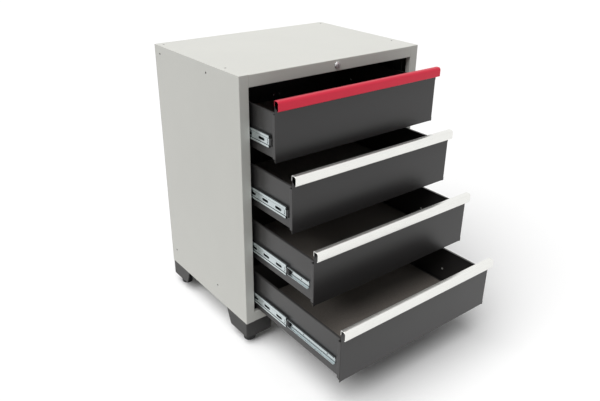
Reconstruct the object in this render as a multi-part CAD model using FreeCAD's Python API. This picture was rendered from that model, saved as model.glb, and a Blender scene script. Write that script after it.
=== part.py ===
import FreeCAD
import Part
import math
import os

Vector = FreeCAD.Vector

# Tool cabinet: a folded steel carcass on four levelling feet, with four equal drawers on
# three-member ball-bearing slides, an extruded pull on each drawer and one lock for all drawers.
# Millimetres. X runs left to right, Y from the front to the back, Z up from the floor.
# Pieces are drawn with the front of the carcass at Y = 0 and the drawers shut, then each drawer
# is moved out to its place, and everything is moved so that the origin lies at the bottom centre.

# Carcass
cabinet_width = 711.2
cabinet_depth = 515.0
carcass_height = 831.0
leg_height = 89.0
panel_gauge = 1.2
inside_bend = 0.8
column_width = 32.5
column_return = 18.0
top_rail_height = 36.5
bottom_rail_height = 36.5
rail_return = 14.0
seam_gap = 0.4
weld_flange = 18.0
flange_end_gap = 6.0

# Bolt holes that join the cabinet to a worktop and to its neighbours
bolt_hole_radius = 3.5
worktop_hole_side = 21.6
worktop_hole_rear = 24.5
worktop_hole_front = 103.5
side_hole_front = 180.6
side_hole_rear = 34.4
side_hole_bottom = 60.0
side_hole_top = 27.0

# Screws that hold the back panel
screw_radius = 2.0
screw_length = 8.0
screw_head_radius = 4.0
screw_head_height = 2.2
screw_hole_clearance = 0.2
back_screws_per_side = 4
back_screws_per_end = 3
back_screw_end_inset = 60.0

# Slide posts
post_width = 40.0
post_foot = 12.0
front_post_setback = 36.0
rear_post_space = 95.0

# Corner brackets and levelling feet
bracket_gauge = 2.5
bracket_side_length = 124.0
bracket_side_foot_length = 101.0
bracket_front_length = 98.0
bracket_drop = 55.0
bracket_bend = 3.0
bracket_front_round = 8.0
bracket_side_round = 4.0
bracket_top_flange = 22.0
bracket_shelf_side = 78.0
bracket_shelf_front = 72.0
bracket_shelf_cut = 30.0
bracket_shelf_rise = 2.0
foot_inset_x = 33.0
foot_inset_y = 37.0
foot_nut_radius = 9.0
foot_nut_height = 10.0
stem_radius = 5.0
stem_clearance = 0.08
pad_radius = 22.0
pad_base_radius = 19.5
pad_base_round = 5.0
pad_shoulder_drop = 5.0
seat_gap = 0.3

# Drawers
drawer_count = 4
drawer_gauge = 1.0
front_clearance = 1.5
front_side_gap = 3.3
drawer_gap = 7.6
front_flange = 13.0
front_return = 16.0
front_corner_relief = 11.0
front_lower_inset = 6.0
box_floor_height = 7.0
box_wall_height = 132.5
box_lip = 7.0
box_rear_space = 37.0
liner_thickness = 2.0
liner_side_inset = 11.0
liner_end_inset = 6.0

# How far each drawer stands out of the carcass, from the top drawer down
drawer_openings = (120.0, 199.0, 299.6, 423.5)

# Drawer pull
handle_gauge = 2.0
handle_reach = 16.7
handle_face_height = 29.0
handle_web_height = 16.0
handle_round = 6.5
handle_fold = 0.5
handle_lip = 3.6

# Slides: cabinet rail, middle rail and drawer rail, one inside the other
slide_thickness = 12.7
slide_height_in_drawer = 55.5
rail_front_setback = 30.0
rail_rear_space = 35.0
rail_gauge = 1.2
rail_bend = 1.0
cabinet_rail_height = 46.0
cabinet_rail_reach = 10.8
cabinet_rail_lip = 3.6
middle_rail_height = 36.5
middle_rail_offset = 2.3
middle_rail_reach = 10.0
middle_rail_lip = 3.6
middle_web_height = 19.0
middle_web_recess = 1.4
drawer_rail_height = 25.6
drawer_rail_edge = 5.0
drawer_web_height = 11.0
drawer_web_recess = 1.4
middle_travel = 200.0
rail_slot_length = 30.0
rail_slot_width = 8.5
rail_slot_first = 37.0
rail_slot_pitch = 65.0
rail_slot_count = 6
stop_tab_radius = 9.0
stop_tab_width = 2.4
stop_tab_setback = 13.0
stop_tab_half_angle = 58.0
rail_hole_radius = 2.5
rail_hole_first = 35.0
rail_hole_pitch = 110.0
rail_hole_count = 4

# Hooks on the cabinet rails and the slots in the posts that take them
hook_width = 6.0
hook_height = 8.0
hook_drop = 5.0
hook_gauge = 1.5
hook_clearance = 0.5

# Ball cages, and the bumper in the front end of each middle rail
cage_gauge = 0.5
ball_gap = 0.35
outer_cage_setback = 110.0
outer_cage_length = 200.0
inner_cage_setback = 135.0
inner_cage_length = 170.0
inner_cage_flange = 3.0
balls_per_row = 7
bumper_nose = 12.0
bumper_tail = 14.0
bumper_thickness = 4.6
bumper_tail_height = 16.6
bumper_nose_height = 21.0

# Lock
lock_drop = 18.5
lock_flange_radius = 11.0
lock_flange_thickness = 4.5
lock_flange_round = 3.2
lock_barrel_radius = 9.3
lock_barrel_length = 22.0
lock_hole_clearance = 0.2
lock_nut_radius = 13.0
lock_nut_thickness = 4.0
plug_radius = 6.2
plug_clearance = 0.06
plug_stand_out = 0.8
key_slot_height = 7.5
key_slot_width = 1.6
key_slot_depth = 9.0
cam_radius = 8.0
cam_thickness = 3.0
rod_radius = 3.0
rod_clearance = 0.06
rod_block_width = 18.0
rod_block_thickness = 6.0
rod_block_drop = 8.0
crank_radius = 12.0
crank_thickness = 3.0
crank_pin_radius = 2.5
crank_slot_clearance = 0.8

# Lock bar, its guides, and the catch on the back of each drawer
bar_travel = 12.0
bar_width = 36.0
bar_gauge = 2.0
bar_centre_x = 27.0
bar_wall_gap = 13.0
bar_foot_drop = 7.0
bar_head_edge = 4.7
bar_head_height = 12.0
finger_width = 24.0
finger_gauge = 1.5
finger_reach = 16.0
finger_tip_height = 9.0
finger_clearance = 3.0
catch_width = 36.0
catch_gauge = 1.5
catch_base = 19.0
catch_height_in_drawer = 18.0
catch_reach = 14.5
catch_lip = 11.0
rivet_radius = 2.0
rivet_head_radius = 3.6
rivet_head_height = 1.2
rivet_spacing = 26.0
rivet_height_in_drawer = 27.0
rivet_clearance = 0.1
guide_height = 20.0
guide_wall = 8.0
guide_front_wall = 2.7
guide_height_in_drawer = 95.0
guided_drawers = (0, 2, 3)

# Sizes that follow from the ones above
half_width = cabinet_width / 2
carcass_top = leg_height + carcass_height
opening_half = half_width - column_width
worktop_hole_spacing_x = cabinet_width - 2 * worktop_hole_side
worktop_hole_spacing_y = cabinet_depth - worktop_hole_front - worktop_hole_rear
side_hole_spacing_y = cabinet_depth - side_hole_front - side_hole_rear
side_hole_spacing_z = carcass_height - side_hole_bottom - side_hole_top
rear_post_setback = cabinet_depth - rear_post_space
shelf_height = leg_height - bracket_drop + bracket_shelf_rise
opening_bottom = leg_height + bottom_rail_height
opening_height = carcass_height - top_rail_height - bottom_rail_height
drawer_pitch = (opening_height - front_clearance) / drawer_count
handle_top = drawer_pitch - drawer_gap
front_height = handle_top - handle_gauge - handle_fold
front_half = opening_half - front_side_gap
box_half = opening_half - slide_thickness
box_length = cabinet_depth - box_rear_space - front_flange
rail_length = cabinet_depth - rail_front_setback - rail_rear_space
lock_height = carcass_top - lock_drop
back_face = cabinet_depth - panel_gauge
front_y = (max(drawer_openings) + handle_reach - cabinet_depth - screw_head_height) / 2
tiny = 1e-6

PLANES = {
    "plan": FreeCAD.Rotation(Vector(1, 0, 0), Vector(0, 1, 0), Vector(0, 0, 1), "XYZ"),
    "side": FreeCAD.Rotation(Vector(0, 1, 0), Vector(0, 0, 1), Vector(1, 0, 0), "XYZ"),
    "front": FreeCAD.Rotation(Vector(1, 0, 0), Vector(0, 0, 1), Vector(0, -1, 0), "XYZ"),
}


def swept(plane, face, start, end):
    """Extrude a flat face across its plane: plan along Z, side along X, front along Y."""
    solid = face.extrude(Vector(0, 0, end - start))
    base = {"plan": Vector(0, 0, start), "side": Vector(start, 0, 0), "front": Vector(0, end, 0)}
    solid.Placement = FreeCAD.Placement(base[plane], PLANES[plane])
    return solid


def tangent_arc(before, corner, after, radius):
    """Start, middle and end of the arc that rounds a corner."""
    back = (before - corner).normalize()
    ahead = (after - corner).normalize()
    half_angle = back.getAngle(ahead) / 2
    setback = radius / math.tan(half_angle)
    bisector = (back + ahead).normalize()
    centre = corner + bisector * (radius / math.sin(half_angle))
    return corner + back * setback, centre - bisector * radius, corner + ahead * setback


def edges_through(corners, radii, closed):
    """Straight edges and corner arcs through flat corners. Radius 0 keeps a corner sharp."""
    count = len(corners)
    edges = []
    stops = []
    for i, corner in enumerate(corners):
        at_end = not closed and i in (0, count - 1)
        if at_end or radii[i] < tiny:
            stops.append((corner, corner))
            continue
        start, middle, end = tangent_arc(corners[i - 1], corner, corners[(i + 1) % count], radii[i])
        edges.append(Part.Arc(start, middle, end).toShape())
        stops.append((start, end))
    for i in range(count if closed else count - 1):
        leave = stops[i][1]
        arrive = stops[(i + 1) % count][0]
        if leave.distanceToPoint(arrive) > tiny:
            edges.append(Part.makeLine(leave, arrive))
    return edges


def face_of(edges):
    """A flat face inside edges given in any order."""
    return Part.Face(Part.Wire(Part.sortEdges(edges)[0]))


def plate(plane, corners, start, end, radii=None):
    """A flat plate of the given outline, with rounded corners where radii are given."""
    flat = [Vector(a, b, 0) for a, b in corners]
    return swept(plane, face_of(edges_through(flat, radii or [0] * len(flat), True)), start, end)


def folded_sheet(plane, corners, gauge, start, end, bend=inside_bend):
    """A sheet folded along the corners of its middle line, with round bends.

    bend is the radius inside the folds, or a list with one radius for each fold.
    """
    line = [Vector(a, b, 0) for a, b in corners]
    bends = bend if isinstance(bend, list) else [bend] * (len(line) - 2)
    headings = [(line[i + 1] - line[i]).normalize() for i in range(len(line) - 1)]
    normals = [Vector(-heading.y, heading.x, 0) for heading in headings]
    edges = []
    ends = []
    for side in (1, -1):
        offset = side * gauge / 2
        path = [line[0] + normals[0] * offset]
        radii = [0]
        for i in range(1, len(line) - 1):
            first, second = normals[i - 1], normals[i]
            path.append(line[i] + (first + second) * (offset / (1 + first.dot(second))))
            turn = headings[i - 1].cross(headings[i]).z
            radii.append(bends[i - 1] if turn * side > 0 else bends[i - 1] + gauge)
        path.append(line[-1] + normals[-1] * offset)
        radii.append(0)
        edges += edges_through(path, radii, False)
        ends.append((path[0], path[-1]))
    edges += [Part.makeLine(ends[0][i], ends[1][i]) for i in (0, 1)]
    return swept(plane, face_of(edges), start, end)


def box(x_low, x_high, y_low, y_high, z_low, z_high):
    """A block between two corners."""
    return Part.makeBox(x_high - x_low, y_high - y_low, z_high - z_low, Vector(x_low, y_low, z_low))


def rod(radius, base, direction, length):
    """A round bar from a base point."""
    return Part.makeCylinder(radius, length, Vector(*base), Vector(*direction))


def slot(plane, centre, length, width, start, end):
    """A round-ended slot, long along the first axis of its plane."""
    a, b = centre
    half = width / 2
    straight = length / 2 - half
    edges = []
    for side in (1, -1):
        first = Vector(a + side * straight, b - side * half, 0)
        middle = Vector(a + side * (straight + half), b, 0)
        last = Vector(a + side * straight, b + side * half, 0)
        edges.append(Part.Arc(first, middle, last).toShape())
        edges.append(Part.makeLine(last, Vector(a - side * straight, b + side * half, 0)))
    return swept(plane, face_of(edges), start, end)


def joined(*shapes):
    """One solid from touching or overlapping shapes."""
    return shapes[0].fuse(list(shapes[1:])).removeSplitter()


def moved(shape, x=0.0, y=0.0, z=0.0):
    """A copy moved along the axes."""
    copy = shape.copy()
    copy.translate(Vector(x, y, z))
    return copy


def mirrored(shape):
    """The right-hand copy of a left-hand piece."""
    return shape.mirror(Vector(0, 0, 0), Vector(1, 0, 0))


def reversed_in_depth(shape):
    """The rear copy of a front piece."""
    return shape.mirror(Vector(0, cabinet_depth / 2, 0), Vector(0, 1, 0))


def pair(shape):
    """A left-hand piece and its right-hand copy."""
    return [shape, mirrored(shape)]


def solids_of(shape):
    """Every separate solid in a shape or in a list of shapes."""
    if isinstance(shape, (list, tuple)):
        return [solid for item in shape for solid in solids_of(item)]
    return list(shape.Solids)


def save(name, shape):
    """Write one node, moved to the shared origin."""
    solids = solids_of(shape)
    for solid in solids:
        if not solid.isValid() or solid.Volume <= 0:
            raise ValueError(name + " holds a bad solid")
    node = solids[0] if len(solids) == 1 else Part.makeCompound(solids)
    moved(node, y=front_y).exportStep("parts/" + name + ".step")
    print(name, len(solids), round(sum(solid.Volume for solid in solids) / 1000, 2), "cm3")


def spread(count, low, high):
    """Evenly spaced places from low to high."""
    return [low + (high - low) * i / (count - 1) for i in range(count)]


# Carcass panels

def side_panel():
    """Left side with the front column, its return beside the opening, and the rear flange."""
    half = panel_gauge / 2
    column_edge = -opening_half - half
    outer = -half_width + half
    rear = back_face - half
    skin = [
        (outer, half),
        (outer, rear),
        (outer + weld_flange, rear),
    ]
    bottom = leg_height
    return_low = leg_height + bottom_rail_height
    return_high = carcass_top - top_rail_height
    top = carcass_top - panel_gauge
    returned = [(column_edge, column_return), (column_edge, half)] + skin
    flat = [(-opening_half, half)] + skin
    panel = joined(
        folded_sheet("plan", returned, panel_gauge, return_low, return_high),
        folded_sheet("plan", flat, panel_gauge, bottom, return_low),
        folded_sheet("plan", flat, panel_gauge, return_high, top),
    )
    for y in (side_hole_front, side_hole_front + side_hole_spacing_y):
        for z in (side_hole_bottom, side_hole_bottom + side_hole_spacing_z):
            base = (-half_width - 1, y, leg_height + z)
            panel = panel.cut(rod(bolt_hole_radius, base, (1, 0, 0), panel_gauge + 2))
    for place in back_screw_places():
        panel = panel.cut(screw_hole(place))
    return panel


def end_panel(plate_height, inward, rail_height, full_width):
    """Top or bottom panel: a plate with the front rail and the welding flanges folded from it.

    inward is 1 when the flanges stand up from the plate and -1 when they hang down.
    """
    half = panel_gauge / 2
    middle = plate_height + inward * half
    rail_edge = plate_height + inward * (rail_height - half)
    rear = back_face - half
    corners = [
        (rail_return, rail_edge),
        (half, rail_edge),
        (half, middle),
        (rear, middle),
        (rear, plate_height + inward * weld_flange),
    ]
    rail_half = opening_half - seam_gap
    panel = folded_sheet("side", corners, panel_gauge, -rail_half, rail_half)
    inner = half_width - panel_gauge
    low, high = sorted((plate_height, plate_height + inward * panel_gauge))
    flange_low, flange_high = sorted((plate_height, plate_height + inward * weld_flange))
    reach = half_width if full_width else inner
    front = 0.0 if full_width else column_return + seam_gap
    rear_edge = cabinet_depth if full_width else back_face - panel_gauge
    wing_corners = [(-reach, front), (-rail_half, front), (-rail_half, rear_edge), (-reach, rear_edge)]
    outer_bend = inside_bend + panel_gauge
    wing_radii = [outer_bend, 0, 0, 0 if full_width else outer_bend]
    wing = plate("plan", wing_corners, low, high, wing_radii)
    flange_front = column_return + flange_end_gap
    flange_rear = back_face - flange_end_gap
    flange = box(-inner, -inner + panel_gauge, flange_front, flange_rear, flange_low, flange_high)
    pieces = pair(wing) + pair(flange)
    if full_width:
        pieces.append(box(-rail_half, rail_half, rear - weld_flange, cabinet_depth, low, high))
    return joined(panel, *pieces)


def top_panel():
    """Top with the upper front rail, the lock hole and four worktop bolt holes."""
    panel = end_panel(carcass_top, -1, top_rail_height, True)
    for x in (-worktop_hole_spacing_x / 2, worktop_hole_spacing_x / 2):
        for y in (worktop_hole_front, worktop_hole_front + worktop_hole_spacing_y):
            base = (x, y, carcass_top - panel_gauge - 1)
            panel = panel.cut(rod(bolt_hole_radius, base, (0, 0, 1), panel_gauge + 2))
    lock_hole = rod(lock_barrel_radius + lock_hole_clearance, (0, -1, lock_height), (0, 1, 0), panel_gauge + 2)
    panel = panel.cut(lock_hole)
    for place in back_screw_places():
        panel = panel.cut(screw_hole(place))
    return panel


def bottom_panel():
    """Floor of the cabinet with the lower front rail."""
    panel = end_panel(leg_height, 1, bottom_rail_height, False)
    for place in back_screw_places():
        panel = panel.cut(screw_hole(place))
    return panel


def back_screw_places():
    """X and Z of each screw around the back panel."""
    x_side = half_width - panel_gauge - weld_flange / 2
    low = leg_height + panel_gauge + weld_flange / 2
    high = carcass_top - panel_gauge - weld_flange / 2
    places = []
    for z in spread(back_screws_per_side, low + back_screw_end_inset, high - back_screw_end_inset):
        places += [(-x_side, z), (x_side, z)]
    inner = opening_half - back_screw_end_inset
    for x in spread(back_screws_per_end, -inner, inner):
        places += [(x, low), (x, high)]
    return places


def screw_hole(place):
    """Clearance hole through the back panel and the flange in front of it."""
    radius = screw_radius + screw_hole_clearance
    base = (place[0], back_face - 2 * panel_gauge, place[1])
    return rod(radius, base, (0, 1, 0), 4 * panel_gauge)


def back_panel():
    """Flat back, flush with the sides and screwed to the flanges."""
    panel = box(-half_width, half_width, back_face, cabinet_depth, leg_height, carcass_top - panel_gauge)
    for place in back_screw_places():
        panel = panel.cut(screw_hole(place))
    return panel


def panel_screws():
    """Pan-head screws of the back panel."""
    screws = []
    for x, z in back_screw_places():
        head = rod(screw_head_radius, (x, cabinet_depth, z), (0, 1, 0), screw_head_height)
        rim = [edge for edge in head.Edges if edge.BoundBox.YMin > cabinet_depth + tiny]
        head = head.makeFillet(screw_head_height * 0.6, rim)
        shank = rod(screw_radius, (x, cabinet_depth - screw_length, z), (0, 1, 0), screw_length)
        screws.append(joined(head, shank))
    return screws


def slide_heights():
    """Height of each slide above the floor, from the top drawer down."""
    return [front_bottom(drawer) + slide_height_in_drawer for drawer in range(drawer_count)]


def slide_posts():
    """Four hat-section posts that carry the slides, welded inside the side panels."""
    half = panel_gauge / 2
    foot = -half_width + panel_gauge + half
    face = -opening_half - half
    posts = []
    for setback in (front_post_setback, rear_post_setback):
        corners = [
            (foot, setback - post_foot),
            (foot, setback),
            (face, setback),
            (face, setback + post_width),
            (foot, setback + post_width),
            (foot, setback + post_width + post_foot),
        ]
        low = leg_height + weld_flange + flange_end_gap
        high = carcass_top - weld_flange - flange_end_gap
        post = folded_sheet("plan", corners, panel_gauge, low, high)
        for height in slide_heights():
            post = post.cut(hook_slot(setback + post_width / 2, height))
        posts += pair(post)
    return posts


def hook_slot(y, height):
    """Slot in a post that a rail hook passes and then drops into."""
    low = height - hook_height / 2 - hook_clearance
    high = height + hook_height / 2 + hook_drop + hook_clearance
    half = hook_width / 2 + hook_clearance
    return box(-opening_half - 2 * panel_gauge, -opening_half + 1, y - half, y + half, low, high)


# Corner brackets and levelling feet

def foot_bracket():
    """Front left bracket: two walls flush with the carcass, a top flange and a shelf for the foot."""
    top = leg_height
    bottom = leg_height - bracket_drop
    left = -half_width
    front_end = left + bracket_front_length
    half = bracket_gauge / 2
    corner_line = [(front_end, half), (left + half, half), (left + half, bracket_side_length)]
    walls = folded_sheet("plan", corner_line, bracket_gauge, bottom, top, bracket_bend)
    side_outline = plate("side", [
        (0, top),
        (bracket_side_length, top),
        (bracket_side_foot_length, bottom),
        (0, bottom),
    ], left, front_end, [0, 0, bracket_side_round, 0])
    front_outline = plate("front", [
        (left, top),
        (front_end, top),
        (front_end, bottom),
        (left, bottom),
    ], 0, bracket_side_length, [0, 0, bracket_front_round, 0])
    walls = walls.common(side_outline).common(front_outline)
    top_flange = plate("plan", [
        (left, 0),
        (front_end, 0),
        (front_end, bracket_top_flange),
        (left + bracket_top_flange, bracket_top_flange),
        (left + bracket_top_flange, bracket_side_length),
        (left, bracket_side_length),
    ], top - bracket_gauge, top)
    shelf = plate("plan", [
        (left, 0),
        (left + bracket_shelf_front, 0),
        (left + bracket_shelf_front, bracket_shelf_cut),
        (left + bracket_shelf_cut, bracket_shelf_side),
        (left, bracket_shelf_side),
    ], shelf_height, shelf_height + bracket_gauge)
    centre = (left + foot_inset_x, foot_inset_y)
    nut_base = shelf_height + bracket_gauge
    nut = swept("plan", face_of(hexagon(centre, foot_nut_radius)), nut_base, nut_base + foot_nut_height)
    bore = rod(stem_radius + stem_clearance, centre + (0,), (0, 0, 1), leg_height)
    outline = plate("plan", [
        (left, 0),
        (front_end, 0),
        (front_end, bracket_side_length),
        (left, bracket_side_length),
    ], 0, leg_height, [bracket_bend + bracket_gauge, 0, 0, 0])
    flat = top_flange.fuse([shelf, nut]).common(outline)
    return joined(walls, flat).cut(bore)


def hexagon(centre, radius):
    """Edges of a hexagon that fits in a circle."""
    points = [
        Vector(centre[0] + radius * math.cos(math.pi * i / 3), centre[1] + radius * math.sin(math.pi * i / 3), 0)
        for i in range(6)
    ]
    return [Part.makeLine(points[i], points[(i + 1) % 6]) for i in range(6)]


def levelling_foot():
    """Front left foot: a round pad on a threaded stem, screwed all the way in."""
    shoulder = shelf_height - seat_gap
    profile = [
        Vector(0, 0, 0),
        Vector(pad_base_radius, 0, 0),
        Vector(pad_radius, shoulder - pad_shoulder_drop, 0),
        Vector(pad_radius - pad_shoulder_drop, shoulder, 0),
        Vector(0, shoulder, 0),
    ]
    radii = [0, pad_base_round, pad_shoulder_drop / 2, 0, 0]
    face = face_of(edges_through(profile, radii, True))
    pad = face.revolve(Vector(0, 0, 0), Vector(0, 1, 0), 360)
    pad.Placement = FreeCAD.Placement(Vector(0, 0, 0), FreeCAD.Rotation(Vector(1, 0, 0), 90))
    stem = rod(stem_radius, (0, 0, shoulder - 1), (0, 0, 1), leg_height - seat_gap - shoulder + 1)
    return moved(joined(pad, stem), -half_width + foot_inset_x, foot_inset_y)


# Slides

def slide_x(offset):
    """X of a point on the left slide, measured from the face of the post towards the drawer."""
    return -opening_half + offset


def rail_section(points, low, high, height):
    """A rail of one bent section, given as offset from the post and height above its centre."""
    corners = [(slide_x(offset), height + rise) for offset, rise in points]
    return folded_sheet("front", corners, rail_gauge, low, high, rail_bend)


def cabinet_rail(height):
    """Left outer rail, hooked into the posts."""
    half = rail_gauge / 2
    rise = cabinet_rail_height / 2 - half
    lip_at = cabinet_rail_reach - half
    lip_end = cabinet_rail_height / 2 - cabinet_rail_lip
    points = [(lip_at, lip_end), (lip_at, rise), (half, rise)]
    points += [(offset, -rise_now) for offset, rise_now in reversed(points)]
    rear = rail_front_setback + rail_length
    rail = rail_section(points, rail_front_setback, rear, height)
    for setback in (front_post_setback, rear_post_setback):
        rail = joined(rail, rail_hook(setback + post_width / 2, height))
    return rail


def rail_hook(y, height):
    """Hook that passes the post's slot and hangs behind its face."""
    back = -panel_gauge - seat_gap
    half = hook_width / 2
    low = height - hook_height / 2
    high = height + hook_height / 2
    neck = box(slide_x(back - hook_gauge), slide_x(half / 10), y - half, y + half, low, high)
    hanger = box(slide_x(back - hook_gauge), slide_x(back), y - half, y + half, low - hook_drop, high)
    return neck.fuse(hanger)


def middle_rail(height):
    """Left middle rail with a recessed slotted web and a stop tab at its front end."""
    half = rail_gauge / 2
    rise = middle_rail_height / 2 - half
    shoulder = middle_rail_offset + half
    web = shoulder + middle_web_recess
    lip_at = middle_rail_reach - half
    lip_end = middle_rail_height / 2 - middle_rail_lip
    web_rise = middle_web_height / 2
    points = [
        (lip_at, lip_end),
        (lip_at, rise),
        (shoulder, rise),
        (shoulder, web_rise + middle_web_recess),
        (web, web_rise),
    ]
    points += [(offset, -rise_now) for offset, rise_now in reversed(points)]
    front = rail_front_setback
    rail = rail_section(points, front, front + rail_length, height)
    web_low = slide_x(middle_rail_offset)
    web_high = slide_x(web + rail_gauge)
    for i in range(rail_slot_count):
        centre = (front + rail_slot_first + i * rail_slot_pitch, height)
        rail = rail.cut(slot("side", centre, rail_slot_length, rail_slot_width, web_low, web_high))
    return rail.cut(stop_tab_cut(front + stop_tab_setback, height, web_low, web_high))


def stop_tab_cut(y, height, low, high):
    """Arc-shaped cut that frees the stop tab, bulging to the front."""
    arcs = []
    ends = []
    for radius in (stop_tab_radius, stop_tab_radius - stop_tab_width):
        points = []
        for turn in (-stop_tab_half_angle, 0, stop_tab_half_angle):
            angle = math.radians(180 + turn)
            points.append(Vector(y + radius * math.cos(angle), height + radius * math.sin(angle), 0))
        arcs.append(Part.Arc(*points).toShape())
        ends.append((points[0], points[2]))
    sides = [Part.makeLine(ends[0][i], ends[1][i]) for i in (0, 1)]
    return swept("side", face_of(arcs + sides), low, high)


def drawer_rail(height):
    """Left inner rail, fixed to the side of the drawer box."""
    half = rail_gauge / 2
    rise = drawer_rail_height / 2 - half
    web = slide_thickness - half
    shoulder = web - drawer_web_recess
    web_rise = drawer_web_height / 2
    points = [
        (drawer_rail_edge, rise),
        (shoulder, rise),
        (shoulder, web_rise + drawer_web_recess),
        (web, web_rise),
    ]
    points += [(offset, -rise_now) for offset, rise_now in reversed(points)]
    front = rail_front_setback
    rail = rail_section(points, front, front + rail_length, height)
    for i in range(rail_hole_count):
        base = (slide_x(web - rail_gauge), front + rail_hole_first + i * rail_hole_pitch, height)
        rail = rail.cut(rod(rail_hole_radius, base, (1, 0, 0), 2 * rail_gauge))
    return rail


def ball_row(cage, centre, rise, radius, low, length, height):
    """Join a row of balls to the strip that carries them."""
    places = spread(balls_per_row, low + 3 * radius, low + length - 3 * radius)
    balls = [Part.makeSphere(radius, Vector(slide_x(centre), y, height + rise)) for y in places]
    return joined(cage, *balls)


def outer_cage(height):
    """Left cage with the balls between the cabinet rail and the middle rail."""
    low = rail_front_setback + outer_cage_setback
    channel_top = cabinet_rail_height / 2 - rail_gauge
    rise = (channel_top + middle_rail_height / 2) / 2
    radius = (channel_top - middle_rail_height / 2) / 2 - ball_gap
    web = (rail_gauge + middle_rail_offset) / 2
    centre = (rail_gauge + cabinet_rail_reach - rail_gauge) / 2
    edge = cabinet_rail_reach - rail_gauge - 2 * ball_gap
    points = [(edge, rise), (web, rise), (web, -rise), (edge, -rise)]
    corners = [(slide_x(offset), height + z) for offset, z in points]
    cage = folded_sheet("front", corners, cage_gauge, low, low + outer_cage_length, cage_gauge)
    for side in (1, -1):
        cage = ball_row(cage, centre, side * rise, radius, low, outer_cage_length, height)
    return cage


def inner_cages(height):
    """Upper and lower left cages with the balls between the middle rail and the drawer rail."""
    low = rail_front_setback + inner_cage_setback
    channel_top = middle_rail_height / 2 - rail_gauge
    rise = (channel_top + drawer_rail_height / 2) / 2
    radius = (channel_top - drawer_rail_height / 2) / 2 - ball_gap
    wall = middle_rail_offset + rail_gauge
    flange = (wall + drawer_rail_edge) / 2
    edge = middle_rail_reach - rail_gauge - ball_gap
    centre = (wall + middle_rail_reach - rail_gauge) / 2
    cages = []
    for side in (1, -1):
        points = [(edge, rise * side), (flange, rise * side), (flange, (rise - inner_cage_flange) * side)]
        corners = [(slide_x(offset), height + z) for offset, z in points]
        strip = folded_sheet("front", corners, cage_gauge, low, low + inner_cage_length, cage_gauge / 2)
        cages.append(ball_row(strip, centre, side * rise, radius, low, inner_cage_length, height))
    return cages


def bumper(height):
    """Left plastic bumper, clipped on the web of the middle rail, with its nose out in front."""
    front = rail_front_setback
    seat = middle_rail_offset + middle_web_recess + rail_gauge
    outer = middle_rail_offset + rail_gauge
    tail = box(slide_x(seat), slide_x(seat + bumper_thickness), front - bumper_nose, front + bumper_tail,
               height - bumper_tail_height / 2, height + bumper_tail_height / 2)
    half = bumper_nose_height / 2
    nose = plate("front", [
        (slide_x(outer), height - half),
        (slide_x(seat + bumper_thickness), height - half),
        (slide_x(seat + bumper_thickness), height + half),
        (slide_x(outer), height + half),
    ], front - bumper_nose, front - seat_gap, [1.5, 1.5, 1.5, 1.5])
    return joined(tail, nose)


# Drawers, drawn shut

def front_bottom(drawer):
    """Lower edge of a drawer front above the floor. Drawer 0 is the top one."""
    return opening_bottom + front_clearance + (drawer_count - 1 - drawer) * drawer_pitch


def drawer_front(drawer):
    """Front panel. Its lower edge and its sides, up to the box's height, turn in against the box."""
    low = front_bottom(drawer)
    high = low + front_height
    side_low = low + front_corner_relief
    side_high = low + box_floor_height + box_wall_height
    half = drawer_gauge / 2
    back = front_flange - half
    upright = [
        (back, low + front_return),
        (back, low + half),
        (half, low + half),
        (half, high),
    ]
    inset = front_lower_inset
    centre = folded_sheet("side", upright, drawer_gauge, -front_half + inset, front_half - inset)
    across = [
        (-front_half + front_return, back),
        (-front_half + half, back),
        (-front_half + half, half),
        (front_half - half, half),
        (front_half - half, back),
        (front_half - front_return, back),
    ]
    sides = folded_sheet("plan", across, drawer_gauge, side_low, side_high)
    upper = box(-front_half, front_half, 0, drawer_gauge, side_high, high)
    corners = [box(x, x + inset, 0, drawer_gauge, low, side_low) for x in (-front_half, front_half - inset)]
    return joined(centre, sides, upper, *corners)


def drawer_box(drawer):
    """Folded box with inward lips on its walls."""
    low = front_bottom(drawer) + box_floor_height
    high = low + box_wall_height
    half = drawer_gauge / 2
    wall = box_half - half
    section = [
        (-wall + box_lip, high - half),
        (-wall, high - half),
        (-wall, low + half),
        (wall, low + half),
        (wall, high - half),
        (wall - box_lip, high - half),
    ]
    front = front_flange
    rear = front_flange + box_length
    shell = folded_sheet("front", section, drawer_gauge, front, rear)
    front_wall = folded_sheet("side", [
        (front + half, low),
        (front + half, high - half),
        (front + half + box_lip, high - half),
    ], drawer_gauge, -wall, wall)
    rear_wall = folded_sheet("side", [
        (rear - half, low),
        (rear - half, high - half),
        (rear - half - box_lip, high - half),
    ], drawer_gauge, -wall, wall)
    folded = joined(shell, front_wall, rear_wall)
    for x in rivet_places():
        base = (x, rear - 2 * drawer_gauge, front_bottom(drawer) + rivet_height_in_drawer)
        folded = folded.cut(rod(rivet_radius + rivet_clearance, base, (0, 1, 0), 3 * drawer_gauge))
    return folded


def rivet_places():
    """X of the two rivets of each catch."""
    return (bar_centre_x - rivet_spacing / 2, bar_centre_x + rivet_spacing / 2)


def lock_catch(drawer):
    """Hooked catch on the back of the box, with the two rivets that hold it."""
    rear = front_flange + box_length
    low = front_bottom(drawer) + catch_height_in_drawer
    high = low + catch_base - catch_gauge / 2
    catch_rear = rear + catch_reach - catch_gauge / 2
    catch = folded_sheet("side", [
        (rear + catch_gauge / 2, low),
        (rear + catch_gauge / 2, high),
        (catch_rear, high),
        (catch_rear, low + catch_base - catch_lip),
    ], catch_gauge, bar_centre_x - catch_width / 2, bar_centre_x + catch_width / 2)
    level = front_bottom(drawer) + rivet_height_in_drawer
    head_front = rear - drawer_gauge - rivet_head_height
    for x in rivet_places():
        head = rod(rivet_head_radius, (x, head_front, level), (0, 1, 0), rivet_head_height)
        shank = rod(rivet_radius, (x, head_front, level), (0, 1, 0), rear + catch_gauge - head_front)
        catch = joined(catch, head, shank)
    return catch


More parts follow.
